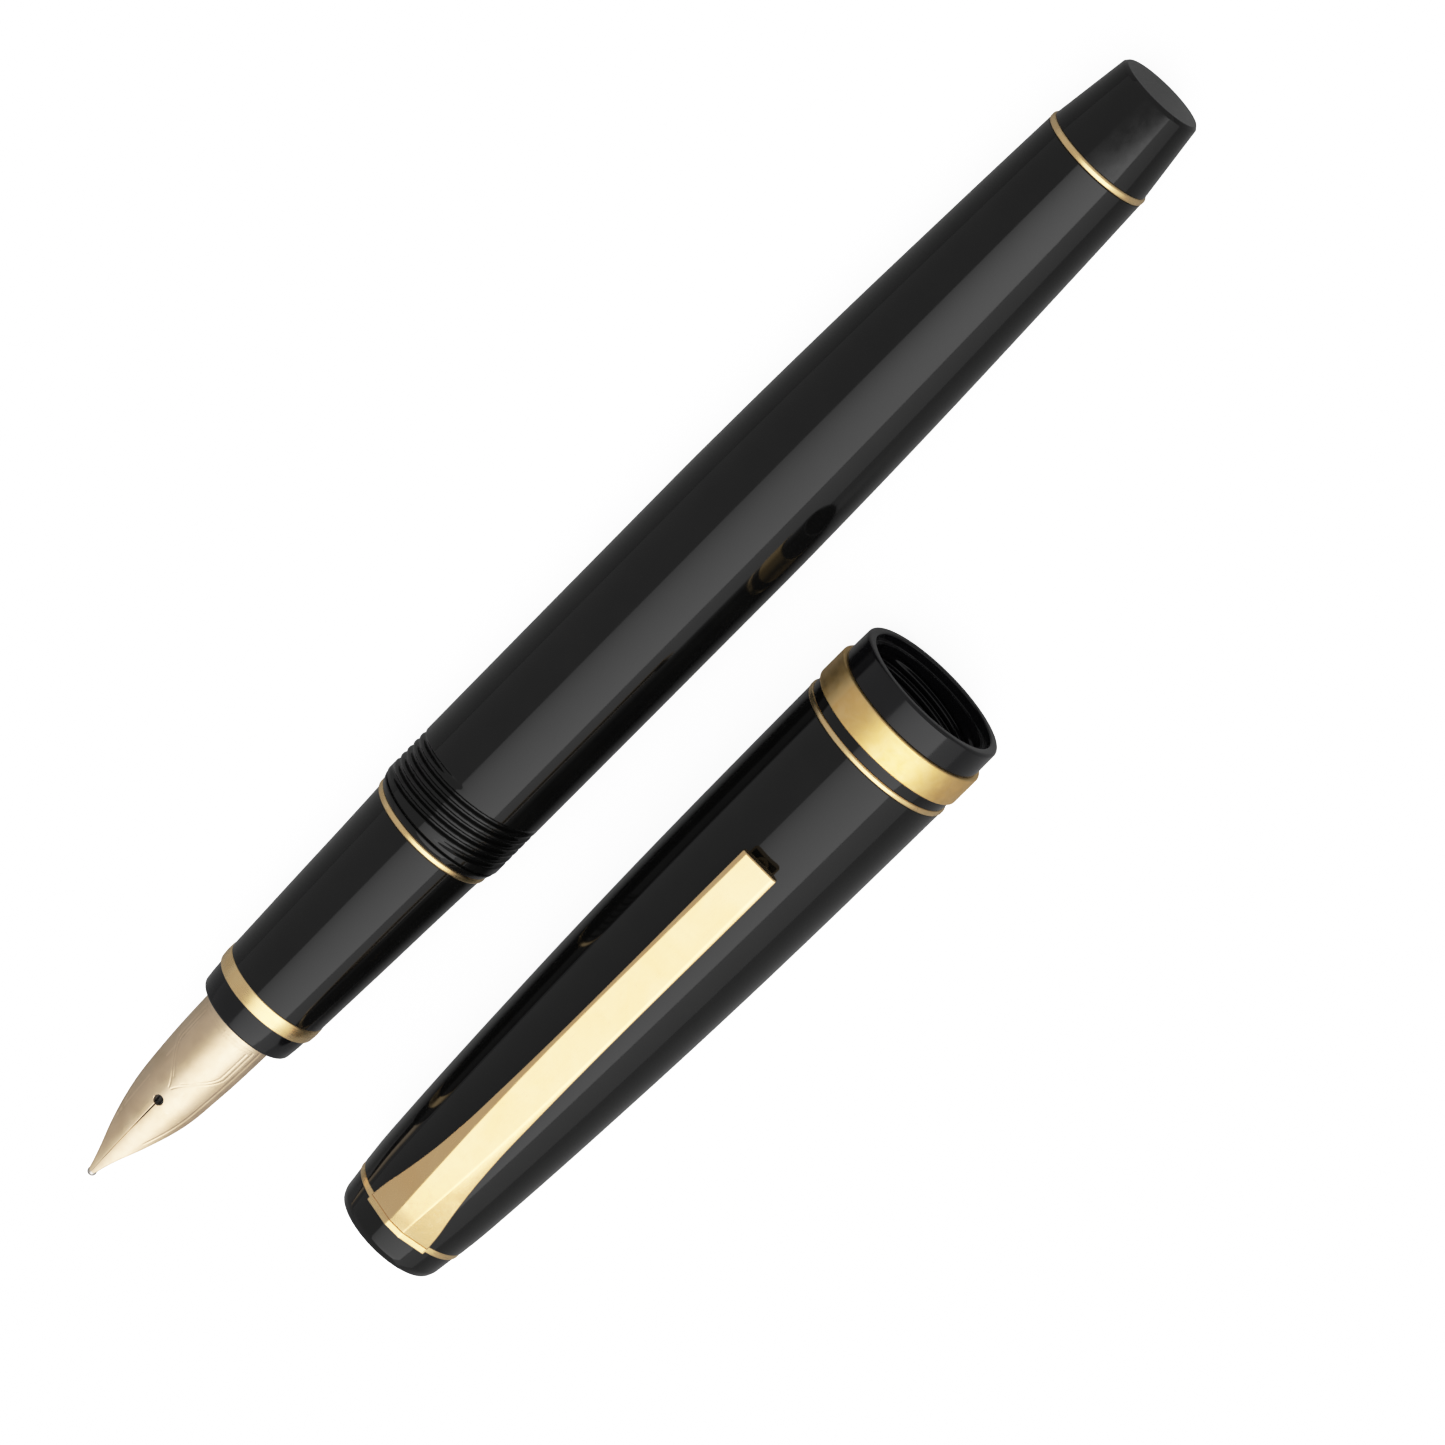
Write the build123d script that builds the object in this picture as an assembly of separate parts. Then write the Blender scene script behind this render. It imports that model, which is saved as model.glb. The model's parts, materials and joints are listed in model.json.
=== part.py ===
from build123d import *
import math
import os

# Fountain pen, uncapped, lying on a table with its cap beside it.
# Millimetres. +Z is up, the pen and the cap lie along X, the nib points to -X and the cap is on the -Y side.
# The origin is the middle of the whole footprint, on the table.
# Inside this script every piece is drawn about the X axis, with x counted from the point of the nib towards
# the tail. lay_pen() and lay_cap() then carry it to its place on the table.

# Driving dimensions: where things are along the pen
pen_length = 123.85
lip_front = 18.4
section_band_front = 20.8
section_band_rear = 22.25
grip_rear = 40.45
barrel_front = 41.05
barrel_rear = 116.45
tail_ring_rear = 117.05

# Driving dimensions: the cap, as it lies beside the pen
finial_front = 14.3
clip_ring_front = 17.15
clip_ring_rear = 17.75
clip_tip = 60.85
narrow_band_front = 71.45
spacer_front = 71.95
wide_band_front = 72.85
cap_lip_front = 75.65
cap_mouth = 78.15

# Driving dimensions: radii that set where the two halves lie
barrel_radius = 5.95
wide_band_radius = 7.24
pen_to_cap = 20.01

# Fits
press_gap = 0.02
running_gap = 0.06

# Threads. The cap's thread has four starts, so one turn moves it by four times its pitch.
cap_thread_pitch = 0.75
cap_thread_starts = 4
cap_thread_lead = cap_thread_starts * cap_thread_pitch
cap_thread_crest = 5.93
cap_thread_depth = 0.34
barrel_thread_pitch = 0.75
barrel_thread_crest = 4.35
rod_thread_lead = 2.5

# The nib lies rolled a little about the pen's axis, towards +Y
nib_roll = -6.5
nib_thickness = 0.32

pen_y = (pen_to_cap + wide_band_radius - barrel_radius) / 2
cap_y = pen_y - pen_to_cap


# Helpers
def turned(outline):
    """A closed outline in the x, radius plane, turned about the X axis."""
    return revolve(make_face(outline), axis=Axis.X)


def rod(x0, x1, r0, r1=None):
    """A cylinder, or a cone if r1 is given, along the X axis."""
    end = r0 if r1 is None else r1
    return turned(Polyline((x0, 0), (x0, r0), (x1, end), (x1, 0), close=True))


def sleeve(x0, x1, outer, inner):
    return turned(Polyline((x0, inner), (x0, outer), (x1, outer), (x1, inner), close=True))


def smooth_turned(points, start_slope=None, end_slope=None):
    """A solid turned under a smooth curve through (x, radius) points, with flat ends."""
    first, last = points[0], points[-1]
    if start_slope is None or end_slope is None:
        top = Spline(*points)
    else:
        top = Spline(*points, tangents=[(1, start_slope), (1, end_slope)])
    rest = Polyline(last, (last[0], 0), (first[0], 0), first)
    return turned(top + rest)


def block(x0, x1, y0, y1, z0, z1):
    size = Box(x1 - x0, y1 - y0, z1 - z0)
    return Pos((x0 + x1) / 2, (y0 + y1) / 2, (z0 + z1) / 2) * size


def mirrored_outline(points):
    """A smooth half outline of (x, half width) points, closed over its mirror image in y."""
    side = Spline(*points)
    other = Spline(*[(x, -y) for x, y in reversed(points)])
    first, last = points[0], points[-1]
    ends = Line(last, (last[0], -last[1])) + Line((first[0], -first[1]), first)
    return make_face(side + other + ends)


def helical_groove(x0, turns, lead, crest, depth, mouth_width, root_width, reach):
    """A swept V groove about X. A positive depth cuts inwards from the crest, a negative one outwards."""
    path = Helix(pitch=lead, height=turns * lead, radius=crest, center=(x0, 0, 0), direction=(1, 0, 0))
    start = path @ 0
    radial = Vector(0, start.Y, start.Z)
    section = Plane(origin=start, x_dir=radial, z_dir=path % 0)
    side = 1 if depth > 0 else -1
    vee = Polyline(
        (side * reach, -mouth_width / 2),
        (-depth, -root_width / 2),
        (-depth, root_width / 2),
        (side * reach, mouth_width / 2),
        close=True,
    )
    return sweep(section * make_face(vee), path=path, is_frenet=True)


def cap_thread(x0, turns, crest, depth):
    """The grooves of the thread between cap and barrel, one for each start."""
    groove = helical_groove(x0, turns, cap_thread_lead, crest, depth, 0.6, 0.12, 0.1)
    return [Rot(start * 360 / cap_thread_starts, 0, 0) * groove for start in range(cap_thread_starts)]


def lay_pen(shape):
    return Pos(-pen_length / 2, pen_y, barrel_radius) * shape


def lay_cap(shape):
    return Pos(-pen_length / 2, cap_y, wide_band_radius) * shape


parts = {}


# Nib unit: a pressed gold leaf on a finned feed
nib_base_radius = 3.6
nib_rear = 30.0
nib_crown = [(0.4, 1.8), (2.5, 2.24), (5, 2.66), (9.4, 3.16), (13, 3.44), (18.4, nib_base_radius)]
nib_side = [(0.4, 0.34), (1.2, 0.52), (2.5, 0.9), (5, 1.8), (8.5, 2.78), (12.5, 3.2), (18.4, 3.45), (nib_rear, 3.5)]
breather_x = 9.4
breather_radius = 0.45
slit_width = 0.1
tipping_radius = 0.4


def under_crown(drop, x_end):
    """The solid under the nib's crown line, lowered by drop."""
    lowered = [(x, r - drop) for x, r in nib_crown]
    front = smooth_turned(lowered, 0.2, 0.0)
    return front + rod(lowered[-1][0], x_end, nib_base_radius - drop)


def make_leaf():
    shell = under_crown(0, nib_rear) - under_crown(nib_thickness, nib_rear + 1)
    plan = extrude(Pos(0, 0, 0.3) * mirrored_outline(nib_side), 6)
    return shell & plan


def make_nib():
    leaf = make_leaf() - block(-1, breather_x, -slit_width / 2, slit_width / 2, 0, 5)
    return leaf - Pos(breather_x, 0, 3) * Cylinder(breather_radius, 4)


def make_tipping():
    """The hard point under the end of the leaf, split by the slit into two halves."""
    ball = Pos(tipping_radius, 0, 1.42) * Sphere(tipping_radius) - make_leaf()
    return ball - block(-1, 2, -slit_width / 2, slit_width / 2, 0, 3)


feed_front = 4.6
feed_rear = 31.0
feed_tail = 36.0
feed_gap = 0.03
fin_count = 9
fin_pitch = 0.8
fin_slot = 0.36
first_fin = 10.2


def make_feed():
    top = under_crown(nib_thickness + feed_gap, feed_rear)
    belly = rod(feed_front, feed_rear, nib_base_radius - press_gap) & block(0, 40, -5, 5, -5, 0)
    body = top + belly
    half_widths = [(feed_front, 0.55), (7, 1.35), (10, 2.1), (14, 2.75), (lip_front - 0.2, 3.2)]
    nose = extrude(Pos(0, 0, -5) * mirrored_outline(half_widths), 10)
    keel = [(feed_front, 1.9), (7, 0.6), (10, -1.0), (14, -2.3), (lip_front - 0.2, -3.2)]
    above_keel = make_face(Spline(*keel) + Polyline(keel[-1], (keel[-1][0], 6), (feed_front, 6), keel[0]))
    nose &= extrude(Plane.XZ * above_keel, 5, both=True)
    body &= nose + block(lip_front - 0.2, feed_rear, -5, 5, -5, 5)
    keel_core = block(0, 20, -0.8, 0.8, -5, 5)
    for i in range(fin_count):
        x = first_fin + i * fin_pitch
        slot = block(x, x + fin_slot, -5, 5, -5, 0.5 - 0.12 * i)
        body -= slot - keel_core
    body -= block(feed_front - 1, feed_rear, -0.15, 0.15, 2.3, 5)
    return body + rod(feed_rear, feed_tail, 1.5)


for name, shape in (("nib", make_nib()), ("nib_tipping", make_tipping()), ("feed", make_feed())):
    parts[name] = lay_pen(Rot(nib_roll, 0, 0) * shape)


# Section: lip, gold band, grip, threaded connector and ink nipple
nib_bore = nib_base_radius + running_gap
bush_radius = 4.2
bush_rear = 26.0
nib_bore_rear = 31.3
connector_front = 36.6
connector_rear = 49.6
connector_bore = 3.5
connector_thread_front = 42.6


def make_section_lip():
    nose = smooth_turned([(lip_front, 4.3), (lip_front + 0.25, 4.5), (19.4, 4.58), (section_band_front, 4.68)])
    return nose + rod(section_band_front, bush_rear, bush_radius) - rod(lip_front - 1, bush_rear + 1, nib_bore)


def make_section_band():
    x0, x1 = section_band_front, section_band_rear
    rounded = smooth_turned([(x0, 4.8), (x0 + 0.25, 4.9), (x1 - 0.25, 4.93), (x1, 4.86)])
    return rounded - rod(x0 - 1, x1 + 1, bush_radius + press_gap)


def make_grip():
    outer = smooth_turned(
        [(section_band_rear, 4.86), (25.5, 4.97), (30.5, 5.14), (35.5, 5.29), (grip_rear, 5.48)], 0.035, 0.045
    )
    outer -= rod(section_band_rear - 1, bush_rear + 0.05, bush_radius + press_gap)
    outer -= rod(bush_rear - 1, nib_bore_rear, nib_bore)
    outer -= rod(nib_bore_rear - 1, connector_front + 1, 2.35)
    return outer - rod(connector_front, grip_rear + 1, barrel_thread_crest + press_gap)


def make_connector():
    outer = rod(connector_front, connector_rear - 0.4, barrel_thread_crest)
    outer += rod(connector_rear - 0.4, connector_rear, barrel_thread_crest, barrel_thread_crest - 0.35)
    outer -= rod(connector_front - 1, connector_rear + 1, connector_bore)
    groove = helical_groove(connector_thread_front, 8, barrel_thread_pitch, barrel_thread_crest, 0.26, 0.62, 0.1, 0.08)
    return outer - groove


def make_nipple():
    body = rod(32.2, connector_front, 2.33)
    body += rod(connector_front, connector_front + 1, connector_bore - press_gap)
    body += rod(connector_front + 1, 43.6, 1.68) + rod(43.6, 44.0, 1.68, 1.4)
    body -= rod(32.0, feed_tail + 0.1, 1.5 + running_gap)
    return body - rod(feed_tail - 1, 45, 1.1)


parts["section_lip"] = lay_pen(make_section_lip())
parts["section_band"] = lay_pen(make_section_band())
parts["grip_section"] = lay_pen(make_grip())
parts["section_connector"] = lay_pen(make_connector())
parts["ink_nipple"] = lay_pen(make_nipple())


# Barrel: front ring, tube with the cap's thread, tail ring and tail plug
barrel_bore_front = barrel_thread_crest + 0.07
barrel_bore = 4.15
barrel_bore_rear = 3.9
plug_spigot = 3.6
plug_front = 111.2
cap_thread_front = 42.35
cap_thread_turns = 1.5


def make_barrel():
    taper = Spline(
        (75, barrel_radius), (82, 5.88), (89.5, 5.74), (96.5, 5.55), (103.6, 5.31), (110.5, 5.06),
        (barrel_rear, 4.82),
        tangents=[(1, 0), (1, -0.042)],
    )
    front = Polyline(
        (barrel_front, 0), (barrel_front, 5.62), (barrel_front + 0.75, cap_thread_crest),
        (47.4, cap_thread_crest), (60, barrel_radius), (75, barrel_radius),
    )
    back = Polyline((barrel_rear, 4.82), (barrel_rear, 0), (barrel_front, 0))
    body = turned(front + taper + back)
    body -= rod(barrel_front - 1, 51, barrel_bore_front)
    body -= rod(50, 94, barrel_bore)
    body -= rod(93, plug_front - 0.4, barrel_bore_rear)
    body -= rod(plug_front - 1, barrel_rear + 1, plug_spigot + press_gap)
    return body - cap_thread(cap_thread_front, cap_thread_turns, cap_thread_crest, cap_thread_depth)


def make_thin_ring(x0, x1, outer, inner, crown):
    """A thin ring with a slightly crowned rim."""
    middle = (x0 + x1) / 2
    rim = ThreePointArc((x0, outer), (middle, outer + crown), (x1, outer))
    return turned(rim + Polyline((x1, outer), (x1, inner), (x0, inner), (x0, outer)))


def make_tail_plug():
    cone = Polyline(
        (tail_ring_rear, 0), (tail_ring_rear, 4.72), (117.9, 4.56), (pen_length - 0.3, 3.84),
        (pen_length, 3.6), (pen_length, 0), (tail_ring_rear, 0),
    )
    return turned(cone) + rod(plug_front, tail_ring_rear, plug_spigot)


parts["barrel_ring"] = lay_pen(make_thin_ring(grip_rear + 0.02, barrel_front, 5.58, barrel_bore_front, 0.06))
parts["barrel"] = lay_pen(make_barrel())
parts["tail_ring"] = lay_pen(make_thin_ring(barrel_rear, tail_ring_rear, 4.8, plug_spigot + press_gap, 0.05))
parts["tail_plug"] = lay_pen(make_tail_plug())


# Ink converter: mouth, clear tube, metal sleeve, rod guide, knob, threaded rod and piston
mouth_front = 37.9
tube_front = 44.2
tube_rear = 71.0
tube_radius = 3.25
tube_bore = 2.75
sleeve_front = 67.0
sleeve_rear = 84.2
sleeve_radius = 3.6
knob_rear = 102.5
knob_radius = 3.45
piston_front = 46.6
rod_front = 48.6
rod_rear = 86.0
rod_radius = 1.1
flat_height = 0.9


def keyed(shape, x0, x1, half_height):
    """Cuts two flats, so that the rod slides through its guide but can't turn in it."""
    for side in (1, -1):
        low, high = sorted((side * half_height, side * 5))
        shape -= block(x0, x1, -5, 5, low, high)
    return shape


def make_mouth():
    body = rod(mouth_front, mouth_front + 0.4, 2.9, 3.2) + rod(mouth_front + 0.4, tube_front, 3.2)
    body += rod(tube_front, 46.4, tube_bore - press_gap)
    body -= rod(mouth_front - 1, 44.4, 1.68 + running_gap)
    return body - rod(44, 47, 1.0)


def make_sleeve():
    return sleeve(sleeve_front, sleeve_rear, sleeve_radius, tube_radius + press_gap)


def make_guide():
    hole = keyed(rod(70, 77, rod_radius + running_gap), 69, 78, flat_height + running_gap)
    return rod(tube_rear + 0.1, 75.5, tube_radius) - hole


def make_knob():
    body = rod(sleeve_rear + 0.2, knob_rear - 0.5, knob_radius)
    body += rod(knob_rear - 0.5, knob_rear, knob_radius, knob_radius - 0.5)
    flute = Pos((sleeve_rear + knob_rear) / 2 + 1, knob_radius + 0.12, 0) * Rot(0, 90, 0) * Cylinder(0.32, 15)
    flutes = [Rot(i * 15, 0, 0) * flute for i in range(24)]
    body -= flutes
    body += rod(77.5, sleeve_rear + 0.2, tube_radius + press_gap - running_gap)
    body -= rod(77, 84, rod_radius + running_gap)
    return body - rod(83.5, knob_rear - 1.0, 1.4)


def make_rod():
    body = rod(rod_front, rod_rear, rod_radius)
    body -= helical_groove(52.5, 13, rod_thread_lead, rod_radius, 0.22, 0.9, 0.3, 0.06)
    return keyed(body, 51.5, rod_rear + 1, flat_height)


def make_piston_head():
    body = rod(piston_front, piston_front + 0.4, 1.8, 2.3) + rod(piston_front + 0.4, 50.6, 2.3)
    body -= sleeve(47.9, 49.6, 3, 1.9)
    return body - rod(rod_front, 51, rod_radius + press_gap)


def make_piston_seal():
    lips = Polyline(
        (47.95, 1.92), (47.95, 2.69), (48.3, 2.69), (48.5, 2.5), (49.0, 2.5), (49.2, 2.69), (49.55, 2.69),
        (49.55, 1.92), close=True,
    )
    return turned(lips)


parts["converter_mouth"] = lay_pen(make_mouth())
parts["converter_tube"] = lay_pen(sleeve(tube_front, tube_rear, tube_radius, tube_bore))
parts["converter_sleeve"] = lay_pen(make_sleeve())
parts["rod_guide"] = lay_pen(make_guide())
parts["converter_knob"] = lay_pen(make_knob())
parts["piston_rod"] = lay_pen(make_rod())
parts["piston_head"] = lay_pen(make_piston_head())
parts["piston_seal"] = lay_pen(make_piston_seal())


# Cap: finial, clip ring, tube, inner cap, bands and threaded lip
stud_radius = 2.0
tube_end_rear = 24.4
inner_cap_radius = 5.18
inner_cap_mouth = 49.2
grip_clearance = 5.95
lip_socket_front = 66.4
lip_socket = 6.42
cap_lip_radius = 6.85
cap_thread_minor = 5.66
lip_thread_front = 72.6
lip_thread_turns = 1.4


def make_finial():
    head = smooth_turned([(finial_front, 4.25), (14.5, 4.62), (14.9, 4.84), (15.8, 5.03), (clip_ring_front, 5.17)])
    return head + rod(clip_ring_front, 23.6, stud_radius)


def make_cap_tube():
    outer = smooth_turned(
        [
            (clip_ring_rear, 5.3), (19.5, 5.49), (23, 5.73), (27, 5.96), (31.5, 6.18), (35.5, 6.35), (40, 6.53),
            (48, 6.78), (56, 6.94), (64, 7.03), (narrow_band_front, 7.08),
        ],
        0.11, 0.004,
    )
    outer -= rod(clip_ring_rear - 1, tube_end_rear + 1, stud_radius + press_gap)
    outer -= rod(tube_end_rear, inner_cap_mouth + 0.3, inner_cap_radius + press_gap)
    outer -= rod(inner_cap_mouth, lip_socket_front + 1, grip_clearance)
    return outer - rod(lip_socket_front, narrow_band_front + 1, lip_socket)


def make_inner_cap():
    body = rod(tube_end_rear + 0.1, inner_cap_mouth, inner_cap_radius)
    body -= rod(26.4, inner_cap_mouth - 0.6, 4.3)
    return body - rod(inner_cap_mouth - 0.6, inner_cap_mouth + 0.01, 4.3, 4.9)


def make_band_spacer():
    return sleeve(spacer_front, wide_band_front, 6.98, lip_socket)


def make_wide_band():
    x0, x1 = wide_band_front, cap_lip_front
    rim = Polyline(
        (x0, lip_socket), (x0, 7.12), (x0 + 0.15, wide_band_radius), (x1 - 0.15, wide_band_radius),
        (x1, 7.12), (x1, lip_socket), close=True,
    )
    return turned(rim)


def make_cap_lip():
    body = rod(lip_socket_front + 0.1, cap_lip_front, lip_socket - press_gap)
    rim = Polyline(
        (cap_lip_front, 0), (cap_lip_front, cap_lip_radius + 0.03), (cap_mouth - 0.25, cap_lip_radius),
        (cap_mouth, cap_lip_radius - 0.25), (cap_mouth, 0), (cap_lip_front, 0),
    )
    body += turned(rim)
    body -= rod(lip_socket_front - 1, 72.0, grip_clearance)
    body -= rod(71.5, 78, cap_thread_minor)
    body -= rod(cap_mouth - 0.8, cap_mouth + 1, 6.05)
    return body - cap_thread(lip_thread_front, lip_thread_turns, cap_thread_minor, -0.3)


parts["cap_finial"] = lay_cap(make_finial())
parts["cap_tube"] = lay_cap(make_cap_tube())
parts["inner_cap"] = lay_cap(make_inner_cap())
parts["cap_narrow_band"] = lay_cap(make_thin_ring(narrow_band_front, spacer_front, 7.08, lip_socket, 0.05))
parts["band_spacer"] = lay_cap(make_band_spacer())
parts["cap_wide_band"] = lay_cap(make_wide_band())
parts["cap_lip"] = lay_cap(make_cap_lip())


# Clip: a sprung arm rooted on a ring that the finial clamps to the end of the cap
clip_root = 17.8
clip_half_width = 1.77
clip_thickness = 1.0
clip_top_tip = 8.75
clip_gap = 0.12
# Stations along the arm: x, top height, crown half width, edge half width, drop from crown to edge
arm_stations = [
    (clip_root, 6.2, 0.75, 3.08, 1.2),
    (19.4, 6.75, 0.8, 2.95, 1.07),
    (21.5, 7.35, 0.9, 2.64, 0.87),
    (24.5, 7.92, 1.04, 2.26, 0.61),
    (28.5, 8.28, 1.22, 1.96, 0.37),
    (33, 8.4, 1.36, 1.84, 0.24),
    (clip_tip, clip_top_tip, 1.42, clip_half_width, 0.175),
]


def arm_section(x, top, crown, edge, drop):
    """The arm's cross-section: a flat crown, two bevels, short sides and a hollow underside."""
    side_bottom = top - drop - 0.55
    under = min(top - clip_thickness, side_bottom + drop)
    corners = [
        (-edge, side_bottom), (-edge, top - drop), (-crown, top), (crown, top), (edge, top - drop),
        (edge, side_bottom), (crown, under), (-crown, under),
    ]
    return make_face(Polyline(*[(x, y, z) for y, z in corners], close=True))


def make_clip_arm():
    arm = loft([arm_section(*station) for station in arm_stations], ruled=True)
    arm += Pos(clip_tip - 1.05, 0, 8.09) * Sphere(1.05) & block(50, 62, -3, 3, 6, 8.3)
    clearance = [(16, 5.2), (19.5, 5.61), (23, 5.85), (27, 6.08), (31.5, 6.3), (36, 6.47)]
    return arm - smooth_turned(clearance)


def make_clip_ring():
    tab = make_face(
        Polyline(
            (clip_ring_front, -3.08, 4.0), (clip_ring_front, -3.08, 4.95), (clip_ring_front, -0.75, 6.15),
            (clip_ring_front, 0.75, 6.15), (clip_ring_front, 3.08, 4.95), (clip_ring_front, 3.08, 4.0),
            close=True,
        )
    )
    thickness = clip_ring_rear - clip_ring_front
    ring = sleeve(clip_ring_front, clip_ring_rear, 5.26, stud_radius + press_gap)
    return ring + extrude(tab, thickness, dir=(1, 0, 0))


parts["clip_arm"] = lay_cap(make_clip_arm())
parts["clip_ring"] = lay_cap(make_clip_ring())


os.makedirs("parts", exist_ok=True)
for name, shape in parts.items():
    export_step(shape, f"parts/{name}.step")
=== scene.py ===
import json
import math

import bmesh
import bpy
from mathutils import Matrix, Vector


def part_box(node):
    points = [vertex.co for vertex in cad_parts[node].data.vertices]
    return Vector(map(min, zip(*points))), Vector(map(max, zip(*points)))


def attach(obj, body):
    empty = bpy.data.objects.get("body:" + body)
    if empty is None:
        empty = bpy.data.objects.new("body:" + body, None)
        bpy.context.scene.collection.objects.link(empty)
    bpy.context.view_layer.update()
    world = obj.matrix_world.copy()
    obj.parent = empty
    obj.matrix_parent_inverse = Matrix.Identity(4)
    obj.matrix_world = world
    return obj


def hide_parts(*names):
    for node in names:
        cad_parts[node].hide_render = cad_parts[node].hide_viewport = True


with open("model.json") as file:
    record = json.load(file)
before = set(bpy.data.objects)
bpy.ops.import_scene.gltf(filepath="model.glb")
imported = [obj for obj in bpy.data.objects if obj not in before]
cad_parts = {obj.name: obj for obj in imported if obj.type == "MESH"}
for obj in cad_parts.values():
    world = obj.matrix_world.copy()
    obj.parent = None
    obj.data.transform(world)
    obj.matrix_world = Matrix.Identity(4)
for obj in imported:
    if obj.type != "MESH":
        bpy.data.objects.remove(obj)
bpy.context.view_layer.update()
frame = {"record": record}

# A fountain pen lying uncapped on a pale table, with its cap beside it.
# Every piece is drawn in millimetres about the X axis, with x counted from the point of the nib towards the
# tail, and is then carried to the axis of the pen or of the cap in the row frame, which is in metres.

MM = 0.001
AROUND = 180           # facets round a turned piece
WELD = 0.0005          # vertices closer than this are one
BARREL_FRONT = 41.05   # from the point of the nib

record = frame["record"]
BODY = {node: body for body, nodes in record["behaviour"]["bodies"].items() for node in nodes}
TIP_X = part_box("barrel")[0].x - BARREL_FRONT * MM


# ---------------------------------------------------------------- places

def axis_of(node):
    """Carries a piece drawn in millimetres about X to the axis of a round CAD node."""
    low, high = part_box(node)
    return Matrix.Translation((TIP_X, (low.y + high.y) / 2, (low.z + high.z) / 2)) @ Matrix.Scale(MM, 4)


def span(node):
    """Where a node starts and ends along X, in millimetres from the point of the nib."""
    low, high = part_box(node)
    return (low.x - TIP_X) / MM, (high.x - TIP_X) / MM


PEN = axis_of("barrel")
CAP = axis_of("cap_tube")
NIB_ROLL = math.radians(-6.5)
NIB = PEN @ Matrix.Rotation(NIB_ROLL, 4, "X")


# ---------------------------------------------------------------- outlines

def steps(start, end, count):
    return [start + (end - start) * i / count for i in range(count + 1)]


def smoothstep(value, low, high):
    share = min(max((value - low) / (high - low), 0.0), 1.0)
    return share * share * (3 - 2 * share)


def curve(stations, first_slope=None, last_slope=None):
    """A smooth function through (x, value) stations."""
    xs = [x for x, _ in stations]
    ys = [y for _, y in stations]
    runs = [b - a for a, b in zip(xs, xs[1:])]
    rises = [(b - a) / run for a, b, run in zip(ys, ys[1:], runs)]
    slopes = [rises[0] if first_slope is None else first_slope]
    for i in range(1, len(runs)):
        slopes.append((rises[i - 1] * runs[i] + rises[i] * runs[i - 1]) / (runs[i] + runs[i - 1]))
    slopes.append(rises[-1] if last_slope is None else last_slope)

    def value(x):
        i = max(n for n in range(len(runs)) if n == 0 or xs[n] <= x)
        run = runs[i]
        s = min(max((x - xs[i]) / run, 0.0), 1.0)
        start = (1 + 2 * s) * (1 - s) ** 2 * ys[i] + s * (1 - s) ** 2 * run * slopes[i]
        end = s * s * (3 - 2 * s) * ys[i + 1] + s * s * (s - 1) * run * slopes[i + 1]
        return start + end

    return value


def along(function, start, end, count):
    return [(x, function(x)) for x in steps(start, end, count)]


def rounded(corners, count=6):
    """A closed outline of 2-D corners. A third number on a corner is the radius that rounds it."""
    outline = []
    for i, corner in enumerate(corners):
        point = Vector(corner[:2])
        if len(corner) == 2:
            outline.append(point)
            continue
        back = Vector(corners[i - 1][:2]) - point
        ahead = Vector(corners[(i + 1) % len(corners)][:2]) - point
        half = back.angle(ahead) / 2
        reach = min(corner[2] / math.tan(half), 0.45 * back.length, 0.45 * ahead.length)
        start = point + back.normalized() * reach
        end = point + ahead.normalized() * reach
        for s in steps(0, 1, count):
            weights = (1 - s) ** 2, 2 * s * (1 - s) * math.sin(half), s * s
            blend = start * weights[0] + point * weights[1] + end * weights[2]
            outline.append(blend / sum(weights))
    return outline


# ---------------------------------------------------------------- solids

def turned(outline, relief=None, around=AROUND):
    """A closed outline of (x, radius) points turned about X. relief(x, radius, angle) reshapes the radius."""
    bm = bmesh.new()
    rings = []
    for x, radius in outline:
        if radius < WELD:
            rings.append([bm.verts.new((x, 0, 0))] * around)
            continue
        ring = []
        for i in range(around):
            angle = math.tau * i / around
            reach = relief(x, radius, angle) if relief else radius
            ring.append(bm.verts.new((x, reach * math.cos(angle), reach * math.sin(angle))))
        rings.append(ring)
    bridge(bm, rings, closed=True)
    return bm


def bridge(bm, rings, closed=False):
    """Faces between one ring of vertices and the next."""
    following = rings[1:] + rings[:1] if closed else rings[1:]
    for ring, after in zip(rings, following):
        count = len(ring)
        for i in range(count):
            j = (i + 1) % count
            corners = list(dict.fromkeys((ring[i], ring[j], after[j], after[i])))
            if len(corners) > 2:
                bm.faces.new(corners)


def sleeve(x0, x1, inner, outer, edge):
    """A plain ring or tube, with its two outer edges rounded."""
    return turned(rounded([(x0, inner), (x0, outer, edge), (x1, outer, edge), (x1, inner)]))


def absorb(bm, other):
    """Moves the whole of another bmesh into bm."""
    mesh = bpy.data.meshes.new("absorbed")
    other.to_mesh(mesh)
    other.free()
    bm.from_mesh(mesh)
    bpy.data.meshes.remove(mesh)


def thread(x0, lead, starts, turns, depth, mouth, root, low, high):
    """Relief of a right-handed thread. It cuts the radii from low to high by depth, outwards if negative."""
    pitch = lead / starts
    length = turns * lead
    fade = pitch / 2

    def relief(x, radius, angle):
        if not low <= radius <= high:
            return radius
        phase = (x - x0) / pitch - angle / math.tau * starts
        across = (phase - round(phase)) * pitch
        centre = x - across - x0
        share = smoothstep(centre, 0, fade) * smoothstep(length - centre, 0, fade)
        return radius - depth * share * smoothstep(mouth / 2 - abs(across), 0, (mouth - root) / 2)

    return relief


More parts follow.
